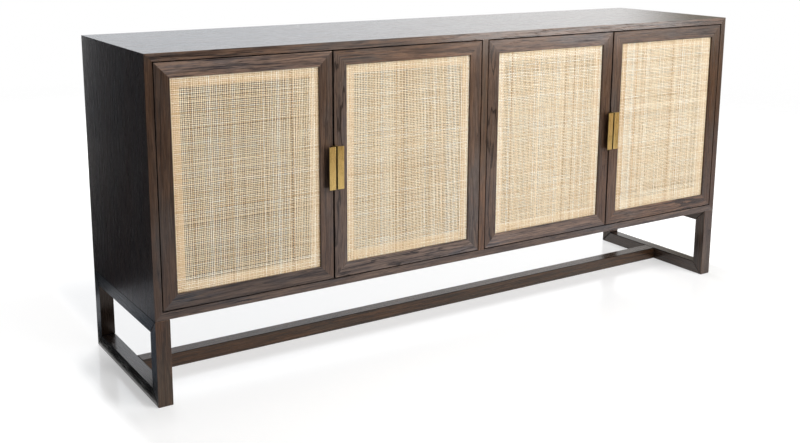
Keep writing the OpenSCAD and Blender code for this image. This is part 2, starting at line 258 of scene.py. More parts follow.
def growth_rings(finish, laid, chance, ring_width, heart, slant, waver, bold):
    """Yearly rings round the heart of the log, which the board crosses at a slant: where
    each ring ends in dark late wood, and how strong that ring is. Bold ones are all strong
    and end in a thin dark line."""
    turned = add(finish, "Mapping", {"Vector": laid, "Rotation": (0.0, *slant)}).outputs[0]
    crossed = stretched(finish, turned, (0.0, 1.0, 1.0), (0.0, *heart))
    from_heart = vector_of(finish, "LENGTH", crossed)["Value"]
    start = (chance.uniform(-5, 5), chance.uniform(-5, 5), 0.0)
    waves, ripples = (
        math_of(finish, "MULTIPLY", noise_of(
            finish, stretched(finish, laid, (draw, 1.0, 1.0), start), scale, 2.0), reach * waver)
        for draw, scale, reach in RING_WAVES)
    years = math_of(finish, "ADD", math_of(finish, "DIVIDE", from_heart, ring_width),
                    math_of(finish, "ADD", waves, ripples))
    season = math_of(finish, "FRACT", years)
    sets_in, full, weakest, _ = LATE_WOOD[bold]
    late = math_of(finish, "SUBTRACT", band_of(finish, season, sets_in, full),
                   band_of(finish, season, *YEAR_END))
    year = add(finish, "TexWhiteNoise", {"W": math_of(finish, "FLOOR", years)},
               noise_dimensions="1D").outputs["Value"]
    strength = add(finish, "MapRange", {"Value": math_of(finish, "MULTIPLY", year, year),
                                        "To Min": weakest, "To Max": 1.0}).outputs[0]
    return math_of(finish, "MULTIPLY", late, strength), season


def stained_board(node, along, chance, rings, film, relief, shaded_side, side_shade):
    """Stained oak: growth rings, streaks, veins, fibres and open pores along the grain, and
    the stain's drift between brown and grey. A shaded side gets painted shade over the stain."""
    finish, shader = new_finish("stained_" + node)
    low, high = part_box(node)
    turns = {"x": (0.0, 0.0, 0.0), "y": (0.0, 0.0, -math.pi / 2), "z": (0.0, math.pi / 2, 0.0)}
    centred = vector_of(finish, "SUBTRACT", places_of(finish), (low + high) / 2)[0]
    laid = add(finish, "Mapping", {"Vector": centred, "Rotation": turns[along]}).outputs[0]
    late, season = growth_rings(finish, laid, chance, *rings)
    start = (chance.uniform(-9, 9), chance.uniform(-9, 9), chance.uniform(-9, 9))
    layers = {layer: noise_of(finish, stretched(finish, laid, (draw, 1.0, 1.0), start), *noise)
              for layer, (draw, *noise) in GRAIN.items()}
    fibres = layers["fibres"]
    open_pores = math_of(finish, "MULTIPLY", band_of(finish, layers["pores"], 0.54, 0.64),
                         band_of(finish, season, 0.80, 0.20))

    # The board's tone, which also carries painted shade and painted sheen.
    pale, hue = TONES_AND_PAINTED_LIGHT.get(node, (1.0, 0.0))
    tint = (pale * (1 - HUE_RED * hue), pale, pale * (1 + HUE_BLUE * hue))
    plain, warm, cool, dark = ([value * share for value, share in zip(stain, tint)]
                               for stain in (STAIN, STAIN_WARM, STAIN_COOL, STAIN_DARK))
    colour = plain
    for layer, nothing_at, full_at, share, stain in (
            ("streaks", 0.36, 0.70, STREAKS[along], warm), ("drift", 0.45, 0.66, 0.8, cool),
            ("patches", 0.50, 0.36, 0.4, warm), ("patches", 0.54, 0.70, 0.25, dark),
            ("veins", 0.44, 0.36, VEINS[along], warm), ("veins", 0.52, 0.64, VEINS[along], dark)):
        shown = band_of(finish, layers[layer], nothing_at, full_at, share)
        colour = blend_of(finish, shown, colour, stain)
    bold = rings[-1]
    line = [value * BOLD_LINE for value in dark] if bold else dark
    colour = blend_of(finish, math_of(finish, "MULTIPLY", late, LATE_WOOD[bold][-1]), colour, line)
    colour = blend_of(finish, band_of(finish, fibres, 0.50, 0.74, 0.4), colour, warm)
    colour = blend_of(finish, math_of(finish, "MULTIPLY", open_pores, 0.7), colour, dark)
    # Painted shade on the side that faces the given way.
    if shaded_side:
        normal = add(finish, "TexCoord").outputs["Normal"]
        facing = vector_of(finish, "DOT_PRODUCT", normal, shaded_side)["Value"]
        stain, share = side_shade
        colour = blend_of(finish, band_of(finish, facing, *SHADED_SIDE_FACING, share), colour, stain)
    join(finish, colour, shader, "Base Color")

    roughen(finish, shader, fibres, *FIBRE_ROUGHNESS, 0.3, 0.7)
    raised = math_of(finish, "ADD", math_of(finish, "MULTIPLY", fibres, 0.5),
                     math_of(finish, "MULTIPLY", layers["streaks"], 0.6))
    sunk = math_of(finish, "ADD", open_pores, math_of(finish, "MULTIPLY", late, 0.25))
    bent = emboss(finish, shader, math_of(finish, "SUBTRACT", raised, sunk), relief,
                  RELIEF_HEIGHT)
    comb(finish, shader, [float(axis == along) for axis in "xyz"], FIBRE_SHEEN)
    lacquer(finish, shader, film, relief=bent)
    return finish


def arris_stain(name, plain, worn, film, gloss):
    """The edges of a stained board; on most, handling and sanding have thinned the stain, and on
    the others black paints the shade along the joints.
    """
    finish, shader = new_finish(name)
    wear = noise_of(finish, places_of(finish), 55.0, 4.0)
    join(finish, blend_of(finish, band_of(finish, wear, 0.40, 0.66), plain, worn),
         shader, "Base Color")
    roughen(finish, shader, wear, 0.28, 0.42)
    lacquer(finish, shader, film, gloss)
    return finish


def soften(piece, ease):
    """Eases the sharp arrises of a machined piece; the eased faces take its last finish."""
    seam = piece.modifiers.new("joined_faces", "WELD")
    seam.merge_threshold = FACE_JOIN
    arris = piece.modifiers.new("eased_arris", "BEVEL")
    arris.width = ease
    arris.segments = 2
    arris.limit_method = "ANGLE"
    arris.angle_limit = SHARP_CORNER
    arris.use_clamp_overlap = True
    arris.miter_outer = "MITER_ARC"
    arris.material = len(piece.data.materials) - 1


def dress(node, finishes, ease=0.0):
    """Gives a piece of the frame its finishes, and eases its arrises."""
    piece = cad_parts[node]
    piece.data.materials.clear()
    for finish in finishes:
        piece.data.materials.append(finish)
    if ease:
        soften(piece, ease)


def dress_board(node, along, ease, ring_width=0.005, heart=None, slant=None, waver=1.0,
                bold=False, film=FILM, relief=RELIEF, shaded_side=None, side_shade=BLACK_SIDE_SHADE, arris=None):
    """Finishes one board with its own grain. The heart of its log lies off the board's
    middle, by chance unless it is given, and so does the slant at which it was sawn."""
    chance = random.Random(node)
    heart = heart or (chance.uniform(0.025, 0.07), chance.uniform(-0.06, 0.06))
    slant = slant or (chance.uniform(-0.05, 0.05), chance.uniform(-0.05, 0.05))
    rings = (ring_width, heart, slant, waver, bold)
    grain = stained_board(node, along, chance, rings, film, relief, shaded_side, side_shade)
    dress(node, [grain, arris or rubbed_arris], ease)


rubbed_arris = arris_stain("rubbed_arris", STAIN, [value * ARRIS_TONE for value in STAIN_WARM],
                           FILM, FIBRE_GLOSS)
# Painted shade: black arrises for the shadow along the joints between parts.
shaded_arris = arris_stain("shaded_arris", ARRIS_SHADE_BLACK, STAIN_DARK, 0.0, DARK_ARRIS_GLOSS)
# The loops' outer faces get painted shade, and most of their arrises are painted black for the
# shade along the joints.
for end, outward in (("left", (-1, 0, 0)), ("right", (1, 0, 0))):
    dress_board(f"{end}_front_leg", "z", LOOP_EASE, 0.006, (0.025, 0.004), (0.04, 0.05), 1.5,
                shaded_side=outward, side_shade=SLATE_SIDE_SHADE)
    for part, along, film, stain in (("back_leg", "z", FILM, SLATE_SIDE_SHADE),
                                     ("top_rail", "y", FILM, SLATE_SIDE_SHADE),
                                     ("bottom_rail", "y", FLOOR_RAIL_FILM, BLACK_SIDE_SHADE)):
        dress_board(f"{end}_{part}", along, LOOP_EASE, film=film, shaded_side=outward, side_shade=stain,
                    arris=shaded_arris)

# Stretcher
# One bar of the same stained oak lies between the two lower rails, with a stub tenon at
# each end glued into its mortise.
STRETCHER_EASE = 0.0012
# Its arrises are painted black for the shade along the joints.
dress_board("stretcher", "x", STRETCHER_EASE, slant=(0.01, 0.008), film=0.4, arris=shaded_arris)

# Case
# Top, bottom and sides are veneered panels with solid lips, mitred together at the four
# corners; the divider is housed between them and the thin back is let into a rebate.
PANEL_EASE = 0.0008
SIDE_EASE = 0.0022
BACK_EASE = 0.0004
TOP_FILM = 0.85
# The outer faces of the two ends get painted shade, and their arrises are painted black for the
# shade along the joints.
for node, along, film, relief, shaded_side, ease, arris in (
        ("top_panel", "x", TOP_FILM, 0.45, None, PANEL_EASE, rubbed_arris),
        ("bottom_panel", "x", FILM, RELIEF, None, PANEL_EASE, rubbed_arris),
        ("left_side", "z", FILM, 0.12, (-1, 0, 0), SIDE_EASE, shaded_arris),
        ("right_side", "z", FILM, 0.12, (1, 0, 0), SIDE_EASE, shaded_arris),
        ("centre_divider", "z", FILM, RELIEF, None, PANEL_EASE, rubbed_arris)):
    dress_board(node, along, ease, ring_width=0.007, heart=(0.09, 0.07), slant=(0.012, 0.02),
                film=film, relief=relief, shaded_side=shaded_side, side_shade=END_SIDE_SHADE, arris=arris)
dress_board("back_panel", "x", BACK_EASE, ring_width=0.008, heart=(0.06, 0.04),
            slant=(0.03, 0.01))

# Shelves
# One loose shelf of the same stained oak lies in each bay, on four pins with a flat on top.
# Its arrises are eased and rubbed paler.
SHELF_EASE = 0.0010
for node in ("left_shelf", "right_shelf"):
    dress_board(node, "x", SHELF_EASE, ring_width=0.006, heart=(0.05, 0.03), slant=(0.03, 0.02))

# Door frames
# Each door is a mitred and glued frame of two stiles and two rails, rebated at the back;
# its front arrises are eased by hand before staining. Some members were cut near the heart
# of the log, and show bold arched figure.
DOORS = (1, 2, 3, 4)
FRAME_EASE = 0.0004
FRAME_RING, FRAME_WAVER = 0.0048, 0.8
BOLD_RING, BOLD_WAVER = 0.019, 1.3
# The heart of the log and the slant of the cut in those members.
BOLD = {"door_3_hinge_stile": ((0.024, 0.006), (0.045, 0.030)),
        "door_2_meeting_stile": ((0.022, 0.008), (-0.050, 0.025)),
        "door_2_bottom_rail": ((0.020, 0.004), (0.050, -0.020)),
        "door_4_bottom_rail": ((0.014, -0.004), (0.060, 0.030))}
# The outer edges of each frame, which face the gaps, get painted shade.
for door in DOORS:
    hinge_way = -1 if door % 2 else 1
    for part, along, shaded_side in (("hinge_stile", "z", (hinge_way, 0, 0)),
                             ("meeting_stile", "z", (-hinge_way, 0, 0)),
                             ("top_rail", "x", (0, 0, 1)), ("bottom_rail", "x", (0, 0, -1))):
        node = f"door_{door}_{part}"
        bold = node in BOLD
        heart, slant = BOLD.get(node, (None, None))
        dress_board(node, along, FRAME_EASE, BOLD_RING if bold else FRAME_RING, heart, slant,
                    BOLD_WAVER if bold else FRAME_WAVER, bold, shaded_side=shaded_side)

# Cane
# A sheet of natural cane is woven from flat strands, one over and one under, and pressed
# into the rebate of each door. The strands differ in width and tone, and wander a little.
STRAND_PITCH = (0.00435, 0.00422)
STRAND_HALF_THICKNESS = 0.00009
STRAND_RISE = 0.00011
# The ring of points round a strand: how far each lies to the side and to the back.
STRAND_RING = ((-1, 0.4), (0, -1), (1, 0.4))
# The first of each of these pairs is for the upright strands, the second for the level ones.
GROUP_DRIFT = (0.0008, 0.0020)
TONE_SPREAD = (0.14, 0.12)
PATCH_SPREAD = (0.04, 0.11)
# The most waves over a strand's length, in a group's drift, a strand's line and its width.
DRIFT_WAVES, LINE_WAVES, WIDTH_WAVES = 2.2, 7.0, 9.0
LINE_REACH, WIDTH_REACH = 0.00022, 0.09
STRAND_ASIDE = 0.00030
WIDTH_SPREAD = 0.11
WIDTH_LIMITS = (0.28, 0.92)
ODD_WIDTHS, ODD_WIDTH_CHANCE = (0.75, 1.30), 0.07
ODD_TONES, ODD_TONE_CHANCE = (0.16, 0.92, 0.96), 0.08
MIDDLE_TONE, BROWNER_TONE, PATCHES = 0.60, 0.36, 12
CANE_TONES = ((0.05, (0.50, 0.31, 0.145)), (0.30, (0.76, 0.57, 0.36)),
              (0.62, (0.87, 0.73, 0.515)), (0.95, (0.93, 0.88, 0.76)))
CANE_BARK = (0.57, 0.325, 0.105)
CANE_FIBRE = (0.46, 0.31, 0.16)
# Each door's weave: how much of the pitch a strand fills, how loose it lies, how many
# uprights on the left are browner, and where (middle, half width, extra share) the strands
# were cut broader.
WEAVES = {
    1: {"share_of_pitch": (0.40, 0.37), "loose": 1.0, "browner": 6,
        "dense": ((0.83, 0.13, 0.13), (0.45, 0.10, 0.03))},
    2: {"share_of_pitch": (0.53, 0.44), "loose": 0.6, "browner": 3,
        "dense": ((0.30, 0.10, 0.03), (0.62, 0.10, 0.05))},
    3: {"share_of_pitch": (0.60, 0.50), "loose": 0.6, "browner": 0,
        "dense": ((0.62, 0.12, 0.05), (0.75, 0.08, 0.05))},
    4: {"share_of_pitch": (0.61, 0.51), "loose": 0.6, "browner": 0,
        "dense": ((0.22, 0.12, 0.03), (0.45, 0.10, 0.04))}}


def wander(chance, length, waves, reach):
    """A smooth random line along a strand: the sum of four slow waves."""
    parts = [(chance.uniform(0.4, waves), chance.uniform(0, 2 * math.pi), chance.uniform(0.3, 1.0))
             for _ in range(4)]
    total = sum(weight for _, _, weight in parts)

    def at(places):
        value = np.zeros_like(places)
        for turns, phase, weight in parts:
            value += weight * np.sin(places / length * 2 * math.pi * turns + phase)
        return value * reach / total
    return at


def strand_lines(chance, count, pitch, crossings, group_drift, loose):
    """Where the middles of parallel strands lie at each crossing, with shared slow drifts."""
    length = crossings[-1] - crossings[0]
    places = crossings - crossings[0]
    middles = np.zeros((count, len(crossings)))
    shared = [wander(chance, length, DRIFT_WAVES, 1.0) for _ in range(3)]
    phases = [chance.uniform(0, 2 * math.pi) for _ in shared]
    paces = [chance.uniform(0.05, 0.16) for _ in shared]
    for strand in range(count):
        own = wander(chance, length, LINE_WAVES, LINE_REACH * loose)
        aside = chance.gauss(0, STRAND_ASIDE * loose)
        drift = sum(line(places) * math.sin(phase + pace * strand)
                    for line, phase, pace in zip(shared, phases, paces))
        middles[strand] = (pitch * (strand + 0.5) + aside + own(places)
                           + drift * group_drift / len(shared))
    return middles


def strand_widths(chance, count, crossings, pitch, share_of_pitch, loose, dense):
    """How wide each strand is at each crossing; a few are broad or thin, and in one band of
    the sheet they were all cut broader, so that the weave is closer there."""
    length = crossings[-1] - crossings[0]
    widths = np.zeros((count, len(crossings)))
    middle, half_width, extra_share = dense
    for strand in range(count):
        share = share_of_pitch * (1 + chance.gauss(0, WIDTH_SPREAD * loose))
        if chance.random() < ODD_WIDTH_CHANCE:
            share *= chance.choice(ODD_WIDTHS)
        share += extra_share * math.exp(-((strand / count - middle) / half_width) ** 2)
        own = wander(chance, length, WIDTH_WAVES, WIDTH_REACH)
        shares = share * (1 + own(crossings - crossings[0]))
        widths[strand] = pitch * np.clip(shares, *WIDTH_LIMITS)
    return widths


def strand_tones(chance, run, way, middle_tone):
    """How pale a strand is at each point. An upright keeps its tone over its whole length and
    some are nearly white or burnt; a level strand changes every few centimetres."""
    tone = chance.gauss(middle_tone, TONE_SPREAD[way])
    if way == 0 and chance.random() < ODD_TONE_CHANCE:
        tone = chance.choice(ODD_TONES)
    length = run[-1] - run[0]
    patches = np.array([chance.gauss(0, PATCH_SPREAD[way]) for _ in range(PATCHES)])
    stations = np.linspace(0, length, PATCHES) + chance.uniform(-0.01, 0.01)
    return np.clip(tone + np.interp(run, stations, patches), 0, 1)


def weave_sheet(name, low, high, chance, share_of_pitch, loose, browner, dense):
    """The woven sheet as one mesh of closed strands, each ring three points round. On some
    doors a few of the uprights on the left are browner."""
    size = high - low
    counts = [round(size.x / STRAND_PITCH[0]), round(size.z / STRAND_PITCH[1])]
    pitches = [size.x / counts[0], size.z / counts[1]]
    level_places = pitches[0] * (np.arange(counts[0]) + 0.5)
    upright_places = pitches[1] * (np.arange(counts[1]) + 0.5)
    uprights = strand_lines(chance, counts[0], pitches[0], upright_places, GROUP_DRIFT[0], loose)
    levels = strand_lines(chance, counts[1], pitches[1], level_places, GROUP_DRIFT[1], loose)
    middle = (low.y + high.y) / 2
    points, faces, tones = [], [], []
    around = len(STRAND_RING)
    offset = 0
    for way, lines, other, crossings, extent in ((0, uprights, levels, upright_places, size.z),
                                                 (1, levels, uprights, level_places, size.x)):
        widths = strand_widths(chance, len(lines), crossings, pitches[way],
                               share_of_pitch[way], loose, dense[way])
        side_axis, run_axis = (0, 2) if way == 0 else (2, 0)
        for strand, line in enumerate(lines):
            crossed = other[:, strand]
            run = np.concatenate(([0.0], crossed, [extent]))
            across = np.interp(run, crossings, line)
            half_width = np.interp(run, crossings, widths[strand]) / 2
            sign = np.where((np.arange(len(crossed)) + strand + way) % 2 == 0, 1.0, -1.0)
            rise = np.concatenate(([0.0], sign * STRAND_RISE, [0.0]))
            ring = np.zeros((len(run), around, 3))
            for place, (side, depth) in enumerate(STRAND_RING):
                ring[:, place, side_axis] = across + side * half_width
                ring[:, place, run_axis] = run
                ring[:, place, 1] = middle - rise + depth * STRAND_HALF_THICKNESS
            ring[:, :, 0] = np.clip(ring[:, :, 0] + low.x, low.x, high.x)
            ring[:, :, 2] = np.clip(ring[:, :, 2] + low.z, low.z, high.z)
            points.append(ring.reshape(-1, 3))
            middle_tone = BROWNER_TONE if way == 0 and strand < browner else MIDDLE_TONE
            shade = np.repeat(strand_tones(chance, run, way, middle_tone), around)
            tones.append(np.stack([shade, np.full_like(shade, way),
                                   np.full_like(shade, chance.random()), np.ones_like(shade)], 1))
            starts = offset + around * np.arange(len(run) - 1)[:, None]
            for first in range(around):
                second = (first + 1) % around
                quad = starts + np.array([first, second, second + around, first + around])
                faces.append(quad if way == 1 else quad[:, ::-1])
            offset += around * len(run)
    return make_mesh(name, np.concatenate(points), np.concatenate(faces), np.concatenate(tones))


def make_mesh(name, points, quads, tones):
    """A smooth mesh piece from its points, four-sided faces and a tone at each point."""
    mesh = bpy.data.meshes.new(name)
    mesh.vertices.add(len(points))
    mesh.vertices.foreach_set("co", points.astype(np.float32).ravel())
    mesh.loops.add(4 * len(quads))
    mesh.loops.foreach_set("vertex_index", quads.astype(np.int32).ravel())
    mesh.polygons.add(len(quads))
    mesh.polygons.foreach_set("loop_start", 4 * np.arange(len(quads), dtype=np.int32))
    mesh.polygons.foreach_set("use_smooth", np.ones(len(quads), dtype=bool))
    mesh.update(calc_edges=True)
    strand = mesh.attributes.new("strand", "FLOAT_COLOR", "POINT")
    strand.data.foreach_set("color", tones.astype(np.float32).ravel())
    piece = bpy.data.objects.new(name, mesh)
    bpy.context.scene.collection.objects.link(piece)
    return piece


def drawn_out(finish, places, level, share):
    """The places for a pattern that runs up and down, or from side to side where level is 1."""
    return add(finish, "Mix", {0: level, 4: stretched(finish, places, (1.0, 1.0, share)),
                               5: stretched(finish, places, (share, 1.0, 1.0))},
               data_type="VECTOR").outputs[1]


def cane_finish():
    """Peeled cane: straw-coloured, some strands paler or browner, with specks of bark and
    fine lengthwise fibres."""
    finish, shader = new_finish("natural_cane")
    strand = add(finish, "Attribute", attribute_name="strand")
    tone, level, _ = add(finish, "SeparateColor", {"Color": strand.outputs["Color"]}).outputs
    places = places_of(finish)
    fibres = noise_of(finish, drawn_out(finish, places, level, 0.04), 1500.0, 2.0)
    blotches = noise_of(finish, drawn_out(finish, places, level, 0.30), 420.0, 2.0)
    ramp = add(finish, "ValToRGB", {"Fac": tone})
    stops = ramp.color_ramp.elements
    for stop, (position, colour) in zip((stops[0], stops[1]), (CANE_TONES[0], CANE_TONES[-1])):
        stop.position, stop.color = position, (*colour, 1)
    for position, colour in CANE_TONES[1:-1]:
        stops.new(position).color = (*colour, 1)
    blotched = blend_of(finish, band_of(finish, blotches, 0.58, 0.66, 0.7), ramp.outputs[0],
                        CANE_BARK)
    join(finish, blend_of(finish, band_of(finish, fibres, 0.5, 0.8, 0.3), blotched, CANE_FIBRE),
         shader, "Base Color")
    roughen(finish, shader, fibres, 0.36, 0.60)
    emboss(finish, shader, fibres, 0.4, 0.0001)
    return finish


cane = cane_finish()
for door in DOORS:
    sheet = weave_sheet(f"woven_cane_{door}", *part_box(f"door_{door}_cane"),
                        random.Random(40 + door), **WEAVES[door])
    sheet.data.materials.append(cane)
    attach(sheet, f"door_{door}")
    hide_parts(f"door_{door}_cane")

# Inner frames
# Four pale, unstained strips mitred round the back of each door press the cane against
# the lip; through the border of the weave they show as a lighter margin.
# The strips' own pale colour, darkened to paint the shade that falls on them behind the cane.
PALE_WOOD_AND_SHADE = (0.60, 0.425, 0.245)
PALE_FIBRE = (0.44, 0.275, 0.13)
STRIP_EASE = 0.0006


def pale_strips(door):
    """Bare softwood with its grain along each strip: up the sides, and across top and
    bottom."""
    finish, shader = new_finish(f"pale_strips_{door}")
    low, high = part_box(f"door_{door}_inner_frame")
    centre, half = (low + high) / 2, (high - low) / 2
    places = places_of(finish)
    about = vector_of(finish, "SUBTRACT", places, centre)[0]
    reach = parts_of(finish, vector_of(finish, "ABSOLUTE", about)[0])
    from_side = math_of(finish, "SUBTRACT", half.x, reach[0])
    from_end = math_of(finish, "SUBTRACT", half.z, reach[2])
    level = math_of(finish, "GREATER_THAN", from_side, from_end)
    run = drawn_out(finish, places, level, 0.05)
    fibres = noise_of(finish, run, 420.0, 4.0, 0.5)
    bands = noise_of(finish, run, 90.0, 2.0, 0.5)
    toned = blend_of(finish, band_of(finish, bands, 0.38, 0.68), PALE_WOOD_AND_SHADE, PALE_FIBRE)
    colour = blend_of(finish, math_of(finish, "MULTIPLY", band_of(finish, fibres, 0.5, 0.72), 0.5),
                      toned, PALE_FIBRE)
    join(finish, colour, shader, "Base Color")
    roughen(finish, shader, fibres, 0.5, 0.7)
    emboss(finish, shader, fibres, 0.3, 0.0002)
    return finish


for door in DOORS:
    dress(f"door_{door}_inner_frame", [pale_strips(door)], STRIP_EASE)

# Pulls
# Each pull is a length of folded brass, brushed along its length and lacquered; its web is
# let into the meeting edge of the door and held by two countersunk brass screws.
BRASS = (0.68, 0.475, 0.175)
BRASS_DEEP = (0.44, 0.295, 0.090)
# The dark brass of the pivots, which on the pulls also paints shade on the sides.
BRASS_DARK_AND_SIDE_SHADE = (0.045, 0.026, 0.010)
BRASS_DARK = (0.03, 0.021, 0.012)
BRASS_SHEEN = 0.8
PULL_EASE = 0.0003


def brushed_brass(name, bright, deep):
    """Brass brushed along Z, deeper in tone where the lacquer has aged, and with painted shade
    on the sides that face across the pull."""
    finish, shader = new_finish(name)
    places = places_of(finish)
    brushing = noise_of(finish, stretched(finish, places, (1.0, 1.0, 0.012)), 2600.0, 3.0, 0.5)
    age = noise_of(finish, places, 38.0, 4.0, 0.5)
    aged = blend_of(finish, band_of(finish, age, 0.40, 0.72, 0.6), bright, deep)
    facing = parts_of(finish, add(finish, "TexCoord").outputs["Normal"])[0]
    # Painted shade on the faces that look to the sides.
    shaded_sides = band_of(finish, math_of(finish, "ABSOLUTE", facing), 0.6, 0.98)
    join(finish, blend_of(finish, shaded_sides, aged, BRASS_DARK_AND_SIDE_SHADE), shader, "Base Color")
    comb(finish, shader, (0, 0, 1), BRASS_SHEEN)
    roughen(finish, shader, brushing, 0.24, 0.36, 0.3, 0.7)
    emboss(finish, shader, brushing, 0.25, 0.00008)
    shader.inputs["Metallic"].default_value = 1.0
    return finish


brass = brushed_brass("brushed_brass", BRASS, BRASS_DEEP)
for door in DOORS:
    dress(f"door_{door}_pull", [brass], PULL_EASE)
    dress(f"door_{door}_pull_screws", [brass])

# Pivots and fittings
# Every door turns on two darkened brass pivots let into the case, with steel plates let into
# the door's ends. A magnet under the top holds it shut by a small strike plate.
STEEL = (0.46, 0.46, 0.455)
STEEL_SPANGLE = (0.30, 0.30, 0.31)
MAGNET_CASE = (0.030, 0.027, 0.025)
MAGNET_PITS = (0.055, 0.050, 0.046)


def rolled_steel():
    """Zinc-plated steel with a faint rolled grain."""
    finish, shader = new_finish("rolled_steel")
    places = places_of(finish)
    lines = noise_of(finish, stretched(finish, places, (0.03, 1.0, 1.0)), 1800.0, 3.0, 0.5)
    spangle = add(finish, "TexVoronoi", {"Vector": places, "Scale": 420.0}).outputs["Distance"]
    colour = blend_of(finish, math_of(finish, "MULTIPLY", spangle, 0.35), STEEL, STEEL_SPANGLE)
    join(finish, colour, shader, "Base Color")
    roughen(finish, shader, lines, 0.26, 0.46)
    shader.inputs["Metallic"].default_value = 1.0
    return finish


def moulded_plastic():
    """The magnets' dark moulded cases, with a fine spark-eroded texture."""
    finish, shader = new_finish("moulded_plastic")
    pits = noise_of(finish, places_of(finish), 1400.0, 2.0, 0.5)
    join(finish, blend_of(finish, pits, MAGNET_CASE, MAGNET_PITS), shader, "Base Color")
    roughen(finish, shader, pits, 0.42, 0.66)
    emboss(finish, shader, pits, 0.3, 0.0001)
    return finish


dress("case_pivots", [brushed_brass("dark_brass", BRASS_DARK_AND_SIDE_SHADE, BRASS_DARK)])
dress("catches", [moulded_plastic()])
steel = rolled_steel()
for node in ("shelf_pins", "base_bolts", *(f"door_{door}_fittings" for door in DOORS)):
    dress(node, [steel])

# Floor
# A pale floor, polished under the cabinet and in front of it and matt elsewhere. It has a
# glow of its own, so that it stays white, and fades out into the white room further away.
# Where it is polished part of its glow is taken away as painted shade, most beside the loops.
FLOOR_GLOW = 0.65
FLOOR_COLOUR = (0.60, 0.60, 0.60)
FLOOR_ROUGHNESS = 0.15
FLOOR_POLISH = 0.85
FLOOR_REACH = (2.2, 5.0)
FLOOR_MARGIN = 0.5
# How far to the side and in depth the floor turns from matt to polished.
POLISHED_SIDE, POLISHED_DEPTH = (1.01, 0.96), (1.0, 0.6)
# How far to the side the loops stand, where in depth the painted shade beside them begins
# and is full, and where the floor there turns matt again.
AT_LOOPS, PAINTED_SHADE_FROM, MATT_FROM = (0.84, 0.90), (-0.34, -0.20), (0.05, 0.25)
# Painted shade: the share of its glow that the polished floor gives up, and the further share
# beside the loops.
GLOW_TAKEN_FOR_SHADE, GLOW_TAKEN_FOR_SHADE_BESIDE = 0.18, 0.12


def seen_directly(finish):
    """1 for rays that come from the camera, a gloss or a clear body, and 0 for soft light."""
    path = add(finish, "LightPath").outputs
    total = math_of(finish, "ADD", path["Is Camera Ray"], path["Is Glossy Ray"])
    return math_of(finish, "ADD", total, path["Is Transmission Ray"], clamp=True)


def floor_finish():
    """White and polished under the piece and in front of it, where part of the glow is taken
    away as painted shade, matt round it, and clear far away, where the world shows."""
    finish, shader = new_finish("pale_floor")
    shader.inputs["Base Color"].default_value = (*FLOOR_COLOUR, 1)
    shader.inputs["Roughness"].default_value = FLOOR_ROUGHNESS
    places = places_of(finish)
    away = vector_of(finish, "LENGTH", places)["Value"]
    reach = parts_of(finish, vector_of(finish, "ABSOLUTE", places)[0])
    depth = parts_of(finish, places)[1]
    ends = band_of(finish, reach[0], *AT_LOOPS)
    matt = math_of(finish, "MULTIPLY", ends, band_of(finish, depth, *MATT_FROM))
    polish = math_of(finish, "MULTIPLY", math_of(
        finish, "MULTIPLY", band_of(finish, reach[0], *POLISHED_SIDE, FLOOR_POLISH),
        math_of(finish, "SUBTRACT", 1.0, matt)), band_of(finish, reach[1], *POLISHED_DEPTH))
    join(finish, polish, shader, "Specular IOR Level")
    # Painted shade: the glow is dimmed where the floor is polished, and more beside the loops.
    shade_beside = math_of(finish, "MULTIPLY", ends, band_of(finish, depth, *PAINTED_SHADE_FROM))
    share = math_of(finish, "ADD", math_of(finish, "MULTIPLY", shade_beside, GLOW_TAKEN_FOR_SHADE_BESIDE),
                    GLOW_TAKEN_FOR_SHADE)
    own_glow = math_of(finish, "SUBTRACT", FLOOR_GLOW, math_of(finish, "MULTIPLY", polish, share))
    glow = add(finish, "Emission", {"Color": (1, 1, 1, 1), "Strength": math_of(
        finish, "MULTIPLY", seen_directly(finish), own_glow)}).outputs[0]
    lit = add(finish, "AddShader", {0: shader.outputs[0], 1: glow}).outputs[0]
    mixed = add(finish, "MixShader", {0: band_of(finish, away, *FLOOR_REACH), 1: lit,
                                      2: add(finish, "BsdfTransparent").outputs[0]}).outputs[0]
    finish.node_tree.links.new(mixed, finish.node_tree.nodes["Material Output"].inputs["Surface"])
    return finish


def flat_sheet(name, corners, finish):
    """A flat stage piece through the given corners."""
    mesh = bpy.data.meshes.new(name)
    mesh.from_pydata(corners, [], [range(len(corners))])
    mesh.materials.append(finish)
    sheet = bpy.data.objects.new(name, mesh)
    bpy.context.scene.collection.objects.link(sheet)
    return sheet


far = FLOOR_REACH[1] + FLOOR_MARGIN
flat_sheet("floor", [(-far, -far, 0), (far, -far, 0), (far, far, 0), (-far, far, 0)],
           floor_finish())

# Painted reflections and shade
# Glowing and dark sheets that only gloss sees, most of them from one side only; they are no
# lamps and light nothing. Lacquer, brass and floor mirror them: the black ones paint shade
# into the wood's reflections, the warm and grey ones paint its sheen, a darker patch paints
# shade into the right pair of pulls, and the dark cloth paints shade into the floor's mirror
# image beside the left end.
BLACK = (0.01, 0.01, 0.01)
DIM_BLUE = (0.014, 0.016, 0.021)
# Each sheet's two feet, its two heads where it leans, its height, and its painted glow low
# down at the left doors and everywhere else.
REFLECTION_SHEETS = {
    "front_shade_sheet": (((0.2, -1.7), (-1.0, -1.6)), None, 1.0, BLACK, BLACK),
    "warm_glow_sheet": (((3.6, -1.9), (0.2, -1.9)), None, 0.50, (1.45, 1.36, 1.22),
                     (0.50, 0.335, 0.19)),
    "far_shade_sheet": (((1.6, -4.2), (-1.4, -3.6)), None, 2.6, BLACK, BLACK),
    "end_shade_sheet": (((-3.4, 1.1), (-0.92, 0.58)), ((-3.4, 1.1), (-1.2, 0.64)), 2.4, DIM_BLUE,
                    DIM_BLUE)}
# The bands in which a colour gives way to the next, as the sheets' X, Y and Z give them.
LOW_GLOW_UP, LOW_GLOW_ACROSS = (0.13, -0.04), (1.5, 0.9)
